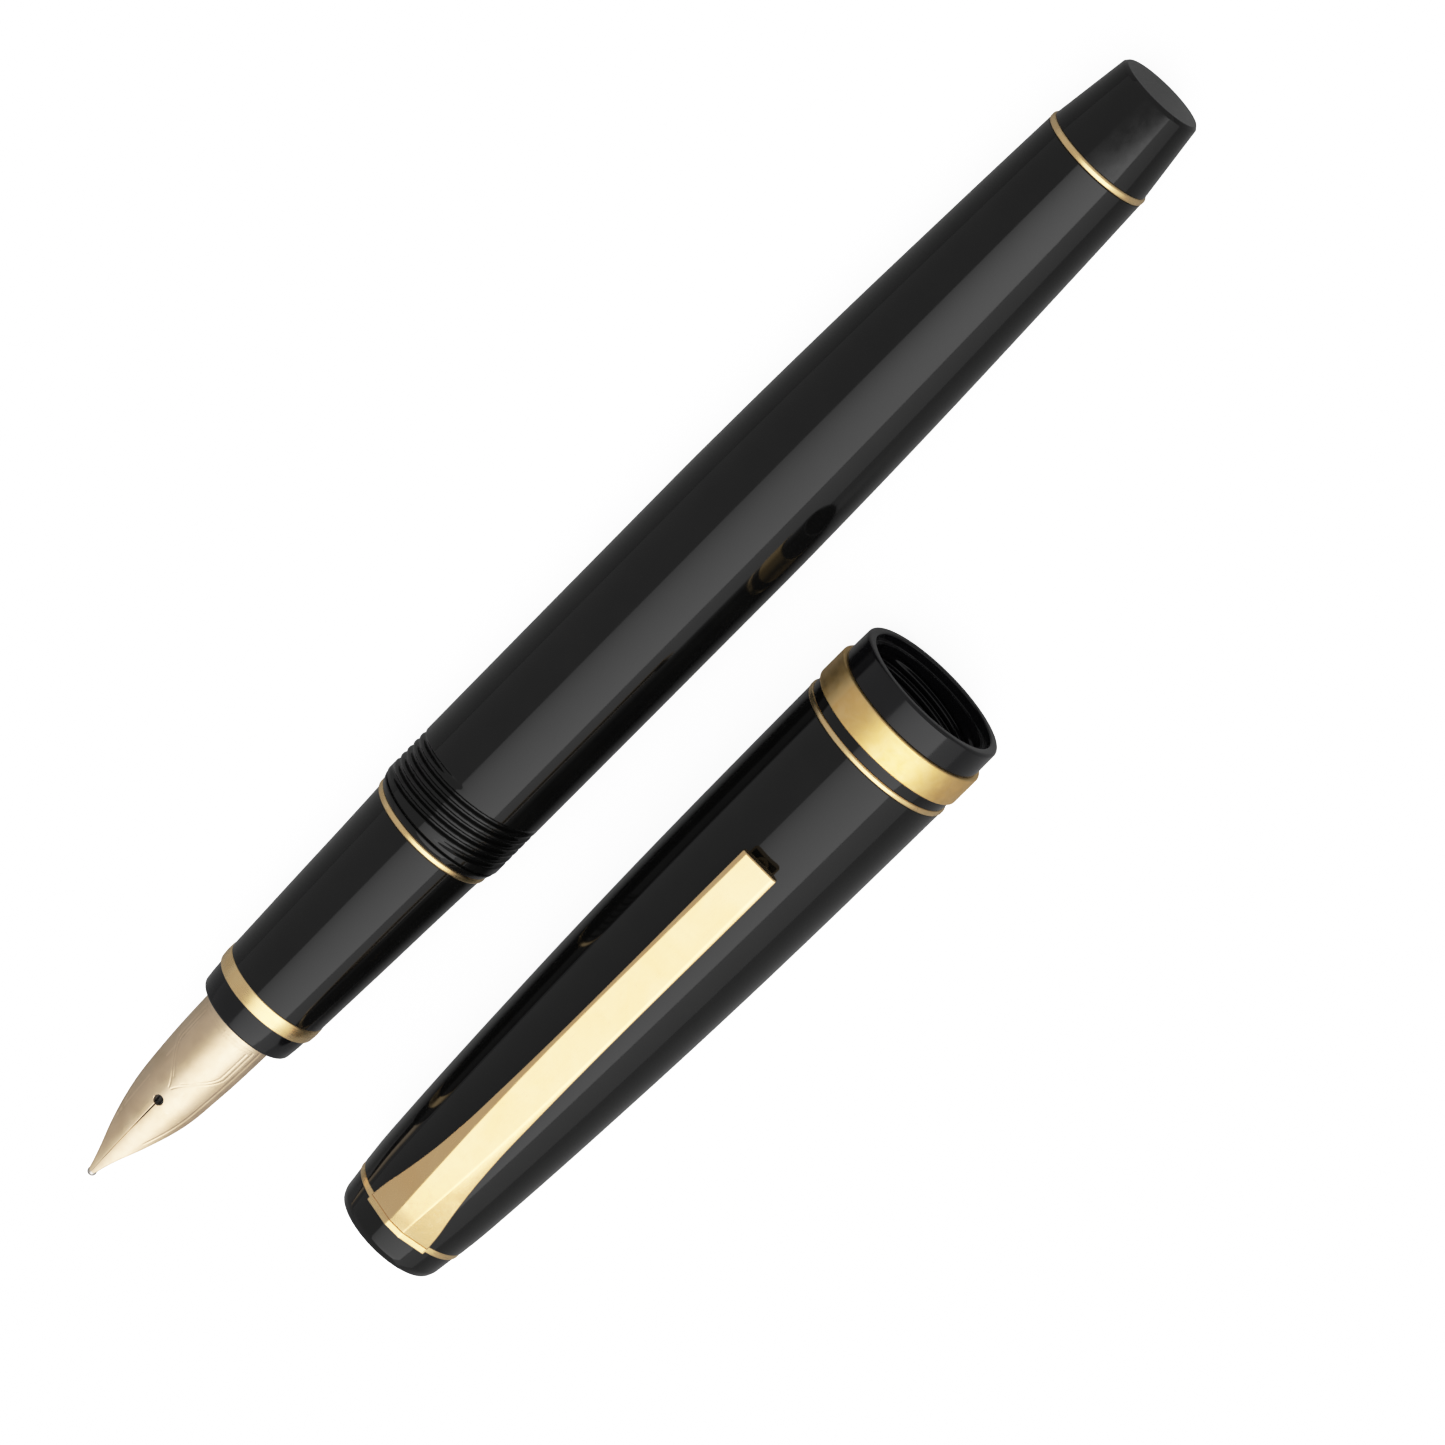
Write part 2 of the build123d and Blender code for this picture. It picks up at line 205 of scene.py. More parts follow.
def add_piece(node, bm, axis, finish, sharp=32):
    """Makes the visible piece that stands for a CAD node, from a bmesh in millimetres."""
    bmesh.ops.remove_doubles(bm, verts=bm.verts, dist=WELD)
    bmesh.ops.recalc_face_normals(bm, faces=bm.faces)
    bm.transform(axis)
    mesh = bpy.data.meshes.new(f"{node}_visual")
    bm.to_mesh(mesh)
    bm.free()
    mesh.materials.append(finish)
    mesh.shade_smooth()
    mesh.set_sharp_from_angle(angle=math.radians(sharp))
    piece = bpy.data.objects.new(mesh.name, mesh)
    bpy.context.scene.collection.objects.link(piece)
    weighted = piece.modifiers.new("weighted_normals", "WEIGHTED_NORMAL")
    weighted.keep_sharp = True
    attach(piece, BODY[node])
    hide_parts(node)
    return piece


# ---------------------------------------------------------------- materials

class Finish:
    """A procedural material whose textures are laid out in millimetres of the row frame."""

    def __init__(self, name, **sockets):
        self.material = bpy.data.materials.new(name)
        self.material.use_nodes = True
        self.tree = self.material.node_tree
        self.shader = self.tree.nodes["Principled BSDF"]
        self.place = self.add("ShaderNodeTexCoord").outputs["Object"]
        for socket, value in sockets.items():
            self.shader.inputs[socket.replace("_", " ")].default_value = value

    def add(self, kind, **inputs):
        """A node of that kind; each input is a value or another node's output."""
        node = self.tree.nodes.new(kind)
        for name, value in inputs.items():
            socket = node.inputs[name.replace("_", " ")]
            if isinstance(value, bpy.types.NodeSocket):
                self.tree.links.new(value, socket)
            else:
                socket.default_value = value
        return node

    def noise(self, per_mm, detail=3.0, stretch=(1, 1, 1), distortion=0.0):
        """Noise with that many features to the millimetre, drawn out along an axis by a small stretch."""
        scale = [per_mm * share / MM for share in stretch]
        mapping = self.add("ShaderNodeMapping", Vector=self.place, Scale=scale)
        texture = self.add(
            "ShaderNodeTexNoise", Vector=mapping.outputs[0], Scale=1.0, Detail=detail, Distortion=distortion
        )
        return texture.outputs["Fac"]

    def mapped(self, value, low, high, to_low, to_high):
        node = self.add("ShaderNodeMapRange", Value=value)
        for name, number in zip(("From Min", "From Max", "To Min", "To Max"), (low, high, to_low, to_high)):
            node.inputs[name].default_value = number
        return node.outputs[0]

    def combined(self, operation, first, second):
        node = self.tree.nodes.new("ShaderNodeMath")
        node.operation = operation
        for socket, value in zip(node.inputs, (first, second)):
            if isinstance(value, bpy.types.NodeSocket):
                self.tree.links.new(value, socket)
            else:
                socket.default_value = value
        return node.outputs[0]

    def mixed(self, share, first, second):
        node = self.tree.nodes.new("ShaderNodeMix")
        node.data_type = "RGBA"
        self.tree.links.new(share, node.inputs["Factor"])
        for name, colour in (("A", first), ("B", second)):
            socket = next(s for s in node.inputs if s.name == name and s.type == "RGBA")
            if isinstance(colour, bpy.types.NodeSocket):
                self.tree.links.new(colour, socket)
            else:
                socket.default_value = (*colour, 1)
        return next(s for s in node.outputs if s.type == "RGBA")

    def use(self, socket, value):
        self.tree.links.new(value, self.shader.inputs[socket])

    def bump(self, height, strength, depth_mm):
        node = self.add("ShaderNodeBump", Height=height, Strength=strength, Distance=depth_mm * MM)
        self.use("Normal", node.outputs[0])


LENGTHWAYS = (0.02, 1, 1)
AROUND_THE_AXIS = (1, 0.02, 0.02)


def resin(name, dark, light, smooth, dull):
    """Polished black resin: deep gloss, faint clouding and a few hairlines from wiping."""
    finish = Finish(name, IOR=1.4)
    clouds = finish.noise(0.35, detail=4)
    finish.use("Base Color", finish.mixed(clouds, dark, light))
    hairlines = finish.mapped(finish.noise(9, detail=2, stretch=LENGTHWAYS, distortion=0.4), 0.66, 0.74, 0, 1)
    haze = finish.mapped(finish.noise(1.2, detail=5), 0.3, 0.75, smooth, dull)
    finish.use("Roughness", finish.combined("ADD", haze, finish.combined("MULTIPLY", hairlines, 0.05)))
    finish.bump(finish.combined("ADD", finish.noise(2.5, detail=3), hairlines), 0.02, 0.004)
    return finish.material


def gold(name, deep, pale, smooth, dull, grain, patches):
    """Polished plating: slow colour drift, lighter worn edges and fine polishing lines along the grain."""
    finish = Finish(name, Metallic=1.0, IOR=1.5)
    drift = finish.mapped(finish.noise(patches, detail=4, distortion=0.6), 0.3, 0.7, 0, 1)
    edges = finish.mapped(finish.add("ShaderNodeNewGeometry").outputs["Pointiness"], 0.5, 0.62, 0, 1)
    tone = finish.mixed(drift, deep, pale)
    worn = tuple(min(1.0, channel * 1.04) for channel in pale)
    finish.use("Base Color", finish.mixed(edges, tone, worn))
    lines = finish.noise(22, detail=3, stretch=grain)
    smears = finish.noise(1.6, detail=5)
    rough = finish.combined("MULTIPLY", lines, smears)
    finish.use("Roughness", finish.mapped(rough, 0.12, 0.4, smooth, dull))
    finish.bump(lines, 0.12, 0.004)
    return finish.material


def moulded(name, dark, light, smooth, dull, grain_depth):
    """Injection-moulded plastic: a fine satin grain."""
    finish = Finish(name, IOR=1.5)
    grain = finish.noise(14, detail=4)
    finish.use("Base Color", finish.mixed(finish.noise(0.8, detail=3), dark, light))
    finish.use("Roughness", finish.mapped(grain, 0.3, 0.7, smooth, dull))
    finish.bump(grain, 0.15, grain_depth)
    return finish.material


def machined(name, deep, pale, smooth, dull):
    """Turned metal, with fine tool marks round the axis."""
    finish = Finish(name, Metallic=1.0)
    marks = finish.noise(18, detail=2, stretch=AROUND_THE_AXIS)
    finish.use("Base Color", finish.mixed(finish.noise(0.7, detail=4), deep, pale))
    finish.use("Roughness", finish.mapped(marks, 0.3, 0.7, smooth, dull))
    finish.bump(marks, 0.2, 0.006)
    return finish.material


def clear_plastic(name):
    """The converter's clear tube, with faint draw lines along it."""
    finish = Finish(name, IOR=1.49, Transmission_Weight=1.0)
    lines = finish.noise(8, detail=2, stretch=LENGTHWAYS)
    finish.use("Base Color", finish.mixed(finish.noise(0.5), (0.86, 0.9, 0.91), (0.95, 0.97, 0.97)))
    finish.use("Roughness", finish.mapped(lines, 0.3, 0.7, 0.02, 0.07))
    finish.bump(lines, 0.05, 0.004)
    return finish.material


black_resin = resin("black_resin", (0.0015, 0.0015, 0.0015), (0.0035, 0.0035, 0.0033), 0.05, 0.1)
lip_resin = resin("lip_resin", (0.0015, 0.0015, 0.0018), (0.0045, 0.0045, 0.005), 0.08, 0.15)
trim_gold = gold("trim_gold", (0.93, 0.64, 0.3), (0.97, 0.71, 0.37), 0.24, 0.36, AROUND_THE_AXIS, 0.5)
clip_gold = gold("clip_gold", (0.94, 0.63, 0.3), (0.97, 0.69, 0.36), 0.16, 0.3, LENGTHWAYS, 0.25)
band_gold = gold("band_gold", (0.92, 0.6, 0.21), (0.98, 0.68, 0.3), 0.38, 0.5, AROUND_THE_AXIS, 0.9)
nib_gold = gold("nib_gold", (0.78, 0.6, 0.4), (0.88, 0.7, 0.5), 0.34, 0.5, LENGTHWAYS, 0.4)
tipping_metal = gold("tipping_metal", (0.6, 0.56, 0.52), (0.7, 0.66, 0.61), 0.25, 0.4, (1, 1, 1), 4)
connector_metal = machined("connector_metal", (0.7, 0.5, 0.24), (0.8, 0.6, 0.32), 0.2, 0.34)
bright_steel = machined("bright_steel", (0.72, 0.72, 0.73), (0.82, 0.82, 0.83), 0.1, 0.2)
feed_black = moulded("feed_black", (0.01, 0.01, 0.01), (0.02, 0.02, 0.02), 0.3, 0.45, 0.008)
liner_plastic = moulded("liner_plastic", (0.012, 0.012, 0.012), (0.024, 0.024, 0.024), 0.4, 0.55, 0.01)
white_plastic = moulded("white_plastic", (0.66, 0.66, 0.62), (0.78, 0.78, 0.74), 0.35, 0.5, 0.008)
seal_rubber = moulded("seal_rubber", (0.016, 0.016, 0.016), (0.03, 0.03, 0.03), 0.45, 0.6, 0.012)
converter_clear = clear_plastic("converter_clear")


# ---------------------------------------------------------------- nib unit

NIB_BASE = 3.6
NIB_THICKNESS = 0.32
BREATHER_X, BREATHER_RADIUS = 9.4, 0.45
SLIT_HALF, SLIT_HALF_AT_POINT = 0.05, 0.005
SLIT_CHAMFER = 0.03
NIB_FRONT = 0.4
NIB_HIDDEN = 18.6      # the section hides the nib behind this
nib_rear = span("nib")[1]
crown = curve(
    [(0.4, 1.8), (2.5, 2.24), (5, 2.66), (9.4, 3.16), (13, 3.44), (18.4, NIB_BASE), (30, NIB_BASE)], 0.2, 0
)
nib_side = curve(
    [(0.4, 0.34), (1.2, 0.52), (2.5, 0.9), (5, 1.8), (8.5, 2.78), (12.5, 3.2), (18.4, 3.45), (30, 3.5)]
)


def nib_gap(x):
    """Half the gap along the nib's centre: the breather hole, and a slit that closes towards the point."""
    slit = 0.0
    if x < BREATHER_X:
        slit = SLIT_HALF_AT_POINT + (SLIT_HALF - SLIT_HALF_AT_POINT) * smoothstep(x, 4.6, 8.6)
    from_hole = abs(x - BREATHER_X)
    if from_hole < BREATHER_RADIUS:
        return max(math.sqrt(BREATHER_RADIUS ** 2 - from_hole ** 2), slit)
    return slit


def engraving(x, y):
    """How deep the plain border is cut: a double arch behind the hole, two bars and an edge line."""
    depth, half_line = 0.022, 0.09
    outer_bar, inner_bar = 17.7, 17.4
    arch_reach = nib_side(x) - 0.75
    arch = arch_reach * smoothstep(x, 10.3, 14.5)
    edge = nib_side(x) - 0.42
    cut = 0.0
    for line, first, last in ((arch, 10.6, outer_bar), (edge, 5.5, 18.0), (arch - 0.28, 11.8, inner_bar)):
        if first < x < last and line > 0.1:
            cut = max(cut, 1 - smoothstep(abs(abs(y) - line), half_line * 0.3, half_line))
    for bar in (outer_bar, inner_bar):
        if abs(y) < arch_reach:
            cut = max(cut, 1 - smoothstep(abs(x - bar), half_line * 0.3, half_line))
    return depth * cut


def make_nib():
    """The pressed leaf: two tines that part at the slit and join behind the breather hole."""
    bm = bmesh.new()
    hole_end = BREATHER_X + BREATHER_RADIUS
    hole = [BREATHER_X - BREATHER_RADIUS * math.cos(turn) for turn in steps(0, math.pi, 24)]
    stations = steps(NIB_FRONT, hole[0], 130)[:-1] + hole[:-1] + steps(hole_end, NIB_HIDDEN, 170)[:-1]
    stations += steps(NIB_HIDDEN, nib_rear, 24)
    columns, columns_below = 72, 20
    nose = 0.3
    edge_round = 0.1
    for side in (1, -1):
        rings = []
        for x in stations:
            width = nib_side(x) * math.sqrt(max(1 - (1 - min((x - NIB_FRONT) / nose, 1)) ** 2, 0.2))
            radius = crown(x)
            inner = math.asin(nib_gap(x) / radius)
            outer = math.asin(width / radius)
            edge = min(edge_round / radius, (outer - inner) / 4)
            ring = [(radius - SLIT_CHAMFER, inner)] if x < BREATHER_X else [(radius, inner)]
            for angle in steps(inner, outer - edge, columns)[1:]:
                y = radius * math.sin(angle)
                ring.append((radius - engraving(x, y), angle))
            for turn in steps(0, math.pi, 8)[1:-1]:
                depth = NIB_THICKNESS / 2 * (1 - math.cos(turn))
                ring.append((radius - depth, outer - edge + edge * math.sin(turn)))
            for angle in steps(outer - edge, inner, columns_below):
                ring.append((radius - NIB_THICKNESS, angle))
            rings.append([bm.verts.new((x, side * r * math.sin(a), r * math.cos(a))) for r, a in ring])
        seam = len(rings[0]) - 1
        for ring, after, x in zip(rings, rings[1:], stations[1:]):
            joined = x > hole_end + WELD
            for i in range(seam if joined else seam + 1):
                j = (i + 1) % (seam + 1)
                bm.faces.new((ring[i], ring[j], after[j], after[i]))
        bm.faces.new(rings[0])
        bm.faces.new(rings[-1])
    return bm


def make_tipping():
    """The hard pellet under the point, ground flat where it writes and split by the slit."""
    bm = bmesh.new()
    radius = 0.4
    centre = Vector((radius, 0, 1.42))
    writing_face = Vector((-0.5, 0, -0.866))
    flat_from, flattening = 0.9 * radius, 0.85
    for side in (1, -1):
        half = bmesh.new()
        bmesh.ops.create_icosphere(half, subdivisions=5, radius=radius)
        for vert in half.verts:
            beyond = vert.co.dot(writing_face) - flat_from
            if beyond > 0:
                vert.co -= writing_face * beyond * flattening
            vert.co += centre
        geometry = half.verts[:] + half.edges[:] + half.faces[:]
        slit_wall = (0, side * nib_gap(radius), 0)
        cut = bmesh.ops.bisect_plane(
            half, geom=geometry, plane_co=slit_wall, plane_no=(0, side, 0), clear_inner=True
        )
        rim = [item for item in cut["geom_cut"] if isinstance(item, bmesh.types.BMEdge)]
        bmesh.ops.contextual_create(half, geom=rim)
        absorb(bm, half)
    return bm


FEED_GAP = 0.03
FEED_FRONT, FEED_CHANNEL_END = 4.6, 31
FEED_TAIL_RADIUS, FEED_REAR = 1.5, 36
FIN_COUNT, FIN_PITCH, FIN_SLOT, FIRST_FIN = 9, 0.8, 0.36, 10.2
KEEL_HALF = 0.8
feed_width = curve([(4.6, 0.5), (7, 1.3), (10, 2.05), (14, 2.7), (18.2, 3.15), (31, 3.2)])
feed_keel = curve([(4.6, 1.9), (7, 0.6), (10, -1.0), (14, -2.3), (18.2, -3.2), (20, -3.5), (31, -3.55)])


def fin_slot(x):
    """The height that the slot at x is cut up to, or None on a fin."""
    for i in range(FIN_COUNT):
        start = FIRST_FIN + i * FIN_PITCH
        if start < x < start + FIN_SLOT:
            return 0.5 - 0.12 * i
    return None


def feed_section(x):
    """The feed's cross-section: it fits under the nib, and narrows to a core in the slots."""
    radius = crown(x) - NIB_THICKNESS - FEED_GAP
    half = min(feed_width(x), radius * 0.985)
    shoulder = math.sqrt(radius ** 2 - half ** 2)
    keel = max(feed_keel(x), -math.sqrt(max(NIB_BASE ** 2 - 0.3, 0)))
    cut = fin_slot(x)
    section = []
    for angle in steps(-math.asin(half / radius), math.asin(half / radius), 32):
        y, z = radius * math.sin(angle), radius * math.cos(angle)
        channel = 0.32 * (1 - smoothstep(abs(y), 0.11, 0.2)) if x < FEED_CHANNEL_END else 0
        section.append((y, z - channel))
    for turn in steps(0, math.pi, 64)[1:-1]:
        y = half * math.cos(turn)
        z = shoulder - (shoulder - keel) * math.sin(turn) ** 0.8
        if cut is not None and z < cut:
            y = max(-KEEL_HALF, min(KEEL_HALF, y))
        section.append((y, z))
    return section


def make_feed():
    """The ink feed: comb fins under the nib, a channel along its top and a round tail."""
    bm = bmesh.new()
    wall = 0.012
    stations = steps(FEED_FRONT, FIRST_FIN - wall, 36)
    for i in range(FIN_COUNT):
        start = FIRST_FIN + i * FIN_PITCH
        for edge in (start, start + FIN_SLOT):
            stations += [edge - wall, edge + wall]
        stations += [start + FIN_SLOT + 0.2]
    stations = sorted(set(stations)) + steps(18.2, FEED_CHANNEL_END, 20)
    rings = [[bm.verts.new((x, y, z)) for y, z in feed_section(x)] for x in stations]
    bridge(bm, rings)
    bm.faces.new(rings[0])
    bm.faces.new(rings[-1])
    tail_front = 30.9
    tail_outline = [
        (tail_front, 0), (tail_front, FEED_TAIL_RADIUS), (FEED_REAR, FEED_TAIL_RADIUS, 0.3), (FEED_REAR, 0),
    ]
    absorb(bm, turned(rounded(tail_outline), around=64))
    return bm


add_piece("nib", make_nib(), NIB, nib_gold)
add_piece("nib_tipping", make_tipping(), NIB, tipping_metal)
add_piece("feed", make_feed(), NIB, feed_black)


# ---------------------------------------------------------------- section

BUSH_RADIUS, BUSH_BORE = 4.2, 4.22
NIB_BORE, NIB_BORE_END = 3.66, 31.3
INK_BORE = 2.35
CONNECTOR_CREST, CONNECTOR_SOCKET = 4.35, 4.37
BARREL_THREAD_LEAD, BARREL_THREAD_TURNS = 0.75, 8

lip_front, bush_rear = span("section_lip")
band_front, band_rear = span("section_band")
grip_front, grip_rear = span("grip_section")
connector_front, connector_rear = span("section_connector")
grip_side = curve([(22.25, 4.86), (25.5, 4.97), (30.5, 5.14), (35.5, 5.29), (40.45, 5.48)], 0.035, 0.045)

lip_outline = [
    (lip_front, NIB_BORE, 0.12), (lip_front, 4.47, 0.3), (19.4, 4.58, 1), (band_front, 4.68, 0.03),
    (band_front, BUSH_RADIUS), (bush_rear, BUSH_RADIUS), (bush_rear, NIB_BORE),
]
add_piece("section_lip", turned(rounded(lip_outline)), PEN, lip_resin)

band_outline = [
    (band_front, BUSH_BORE), (band_front, 4.86, 0.14), ((band_front + band_rear) / 2, 4.93, 2),
    (band_rear, 4.9, 0.1), (band_rear, BUSH_BORE),
]
add_piece("section_band", turned(rounded(band_outline)), PEN, trim_gold)

bush_socket_end = 26.05
grip_outline = [(grip_front, BUSH_BORE), (grip_front, 4.84)]
grip_outline += along(grip_side, grip_front + 0.03, grip_rear - 0.05, 40)
grip_outline += [
    (grip_rear, 5.44), (grip_rear, CONNECTOR_SOCKET), (connector_front, CONNECTOR_SOCKET),
    (connector_front, INK_BORE), (NIB_BORE_END, INK_BORE), (NIB_BORE_END, NIB_BORE),
    (bush_socket_end, NIB_BORE), (bush_socket_end, BUSH_BORE),
]
add_piece("grip_section", turned(grip_outline), PEN, black_resin)

connector_thread = thread(
    42.6, BARREL_THREAD_LEAD, starts=1, turns=BARREL_THREAD_TURNS, depth=0.26, mouth=0.66, root=0.1,
    low=CONNECTOR_CREST - 0.05, high=CONNECTOR_CREST + 0.05,
)
connector_bore = 3.5
connector_outline = [(connector_front, connector_bore), (connector_front, CONNECTOR_CREST)]
connector_outline += [(x, CONNECTOR_CREST) for x in steps(42.2, 49.1, 180)]
connector_outline += [(connector_rear, 4.0), (connector_rear, connector_bore)]
add_piece("section_connector", turned(connector_outline, connector_thread, around=144), PEN, connector_metal)

nipple_front, nipple_rear = span("ink_nipple")
nipple_radius, ink_way, feed_socket = 1.68, 1.1, 1.56
nipple_outline = [
    (nipple_front, feed_socket), (nipple_front, 2.33, 0.15), (36.6, 2.33), (36.6, 3.48), (37.6, 3.48, 0.1),
    (37.6, nipple_radius, 0.2), (43.6, nipple_radius, 0.3), (nipple_rear, 1.4, 0.1), (nipple_rear, ink_way),
    (36.1, ink_way), (36.1, feed_socket),
]
add_piece("ink_nipple", turned(rounded(nipple_outline), around=96), PEN, feed_black)


# ---------------------------------------------------------------- barrel

CAP_THREAD_LEAD, CAP_THREAD_STARTS = 3.0, 4
THREAD_CREST = 5.93
BARREL_BORE, CONVERTER_BORE, REAR_BORE, PLUG_SOCKET = 4.42, 4.15, 3.9, 3.62

barrel_front, barrel_rear = span("barrel")
barrel_taper = curve(
    [(75, 5.95), (82, 5.88), (89.5, 5.74), (96.5, 5.55), (103.6, 5.31), (110.5, 5.06), (barrel_rear, 4.82)],
    0, -0.042,
)
outer_thread = thread(
    42.35, CAP_THREAD_LEAD, CAP_THREAD_STARTS, turns=1.5, depth=0.34, mouth=0.62, root=0.1,
    low=THREAD_CREST - 0.01, high=THREAD_CREST + 0.01,
)
inner_thread = thread(
    43.4, BARREL_THREAD_LEAD, starts=1, turns=BARREL_THREAD_TURNS, depth=-0.24, mouth=0.62, root=0.1,
    low=BARREL_BORE - 0.01, high=BARREL_BORE + 0.01,
)


def barrel_relief(x, radius, angle):
    return outer_thread(x, inner_thread(x, radius, angle), angle)


barrel_outline = rounded(
    [(barrel_front, BARREL_BORE), (barrel_front, 5.62, 0.12), (41.8, THREAD_CREST - 0.015, 0.1)]
)[1:]
barrel_outline += [(x, THREAD_CREST) for x in steps(41.95, 47.35, 135)]
barrel_outline += [(52, 5.938), (60, 5.95)] + along(barrel_taper, 75, barrel_rear - 0.04, 60)
barrel_outline += [
    (barrel_rear, 4.78), (barrel_rear, PLUG_SOCKET), (110.8, PLUG_SOCKET), (110.8, REAR_BORE),
    (94, REAR_BORE), (94, CONVERTER_BORE), (51, CONVERTER_BORE), (51, BARREL_BORE),
]
barrel_outline += [(x, BARREL_BORE) for x in steps(50.2, 42.8, 148)]
barrel_outline += [(barrel_front + 0.25, BARREL_BORE), (barrel_front, 4.6)]
add_piece("barrel", turned(barrel_outline, barrel_relief), PEN, black_resin)

add_piece("barrel_ring", sleeve(*span("barrel_ring"), BARREL_BORE, 5.64, 0.2), PEN, trim_gold)
add_piece("tail_ring", sleeve(*span("tail_ring"), PLUG_SOCKET, 4.85, 0.2), PEN, trim_gold)

plug_front, plug_rear = span("tail_plug")
tail_ring_rear = span("tail_ring")[1]
plug_spigot = 3.6
plug_outline = [
    (plug_front, 0), (plug_front, plug_spigot, 0.3), (tail_ring_rear, plug_spigot),
    (tail_ring_rear, 4.69, 0.06), (123.55, 3.84, 0.12), (plug_rear, 3.6, 0.15), (plug_rear, 0),
]
add_piece("tail_plug", turned(rounded(plug_outline)), PEN, black_resin)


# ---------------------------------------------------------------- ink converter

TUBE_BORE, TUBE_RADIUS = 2.75, 3.25
SLEEVE_BORE, SLEEVE_RADIUS = 3.27, 3.6
ROD_RADIUS, ROD_HOLE, FLAT_HALF = 1.1, 1.16, 0.9
ROD_THREAD_LEAD = 2.5
KNOB_RADIUS, KNOB_REAR_EDGE = 3.45, 102.1
FLUTES, FLUTE_FRONT, FLUTE_RADIUS = 24, 86, 0.34


def flattened(relief, half_height, low, high, first):
    """Adds two flats, at plus and minus half_height, to the radii from low to high behind first."""

    def shaped(x, radius, angle):
        reach = relief(x, radius, angle) if relief else radius
        if low <= radius <= high and x > first and abs(math.sin(angle)) > 0.01:
            return min(reach, half_height / abs(math.sin(angle)))
        return reach

    return shaped


def fluted(x, radius, angle):
    """Small round flutes along the knob, for grip."""
    if radius < KNOB_RADIUS - 0.01 or not FLUTE_FRONT < x < KNOB_REAR_EDGE:
        return radius
    pitch = math.tau / FLUTES
    across = KNOB_RADIUS * (angle - round(angle / pitch) * pitch)
    if abs(across) >= FLUTE_RADIUS:
        return radius
    share = smoothstep(x, 86.8, 87.2)
    bottom = KNOB_RADIUS + 0.14 - math.sqrt(FLUTE_RADIUS ** 2 - across ** 2)
    return radius - share * max(radius - bottom, 0)


mouth_front, mouth_rear = span("converter_mouth")
tube_front, tube_rear = span("converter_tube")
nipple_socket, mouth_spigot, mouth_hole = 1.74, 2.73, 1.0
mouth_outline = [
    (mouth_front, nipple_socket, 0.3), (mouth_front, 2.9, 0.1), (38.3, 3.2, 0.1), (tube_front, 3.2),
    (tube_front, mouth_spigot), (mouth_rear, mouth_spigot, 0.1), (mouth_rear, mouth_hole),
    (44.4, mouth_hole), (44.4, nipple_socket),
]
add_piece("converter_mouth", turned(rounded(mouth_outline), around=128), PEN, feed_black)
add_piece("converter_tube", sleeve(tube_front, tube_rear, TUBE_BORE, TUBE_RADIUS, 0.12), PEN, converter_clear)

sleeve_front, sleeve_rear = span("converter_sleeve")
groove_floor = 3.53
sleeve_outline = [
    (sleeve_front, SLEEVE_BORE), (sleeve_front, SLEEVE_RADIUS, 0.12), (69.4, SLEEVE_RADIUS, 0.06),
    (69.5, groove_floor, 0.06), (69.8, groove_floor, 0.06), (69.9, SLEEVE_RADIUS, 0.06),
    (sleeve_rear, SLEEVE_RADIUS, 0.12), (sleeve_rear, SLEEVE_BORE),
]
add_piece("converter_sleeve", turned(rounded(sleeve_outline)), PEN, bright_steel)

guide_front, guide_rear = span("rod_guide")
guide_radius = 3.25
guide_outline = [
    (guide_front, ROD_HOLE), (guide_front, guide_radius, 0.15), (guide_rear, guide_radius, 0.15),
    (guide_rear, ROD_HOLE),
]
guide_bore = flattened(None, FLAT_HALF + 0.06, low=1.1, high=1.2, first=0)
add_piece("rod_guide", turned(rounded(guide_outline), guide_bore, around=96), PEN, white_plastic)

knob_front, knob_rear = span("converter_knob")
knob_neck, knob_hollow = 3.21, 1.4
knob_outline = rounded(
    [(knob_front, ROD_HOLE), (knob_front, knob_neck, 0.1), (84.4, knob_neck), (84.4, KNOB_RADIUS, 0.12)]
)
knob_outline += [(x, KNOB_RADIUS) for x in (*steps(86.7, 87.3, 8), *steps(88, 101.9, 16))]
knob_outline += [(102.0, KNOB_RADIUS - 0.005), (102.15, 3.3), (knob_rear, 2.95), (knob_rear, 0)]
knob_outline += [(101.5, 0), (101.5, knob_hollow), (84, knob_hollow), (84, ROD_HOLE)]
add_piece("converter_knob", turned(knob_outline, fluted, around=FLUTES * 14), PEN, feed_black)

rod_front, rod_rear = span("piston_rod")
rod_thread = thread(
    52.5, ROD_THREAD_LEAD, starts=1, turns=13, depth=0.22, mouth=0.95, root=0.3,
    low=ROD_RADIUS - 0.01, high=ROD_RADIUS + 0.01,
)
rod_relief = flattened(rod_thread, FLAT_HALF, low=0.9, high=1.2, first=51.5)
rod_outline = [(rod_front, 0), (rod_front, ROD_RADIUS)]
rod_outline += [(x, ROD_RADIUS) for x in steps(51.4, 85.9, 300)]
rod_outline += [(rod_rear, 1.0), (rod_rear, 0)]
add_piece("piston_rod", turned(rod_outline, rod_relief, around=72), PEN, white_plastic)

head_front, head_rear = span("piston_head")
head_radius, seal_groove, rod_socket = 2.3, 1.9, 1.12
head_outline = [
    (head_front, 0), (head_front, 1.8, 0.1), (47.0, head_radius, 0.1), (47.9, head_radius, 0.05),
    (47.9, seal_groove), (49.6, seal_groove), (49.6, head_radius, 0.05), (head_rear, head_radius, 0.15),
    (head_rear, rod_socket), (rod_front, rod_socket), (rod_front, 0),
]
add_piece("piston_head", turned(rounded(head_outline), around=96), PEN, white_plastic)

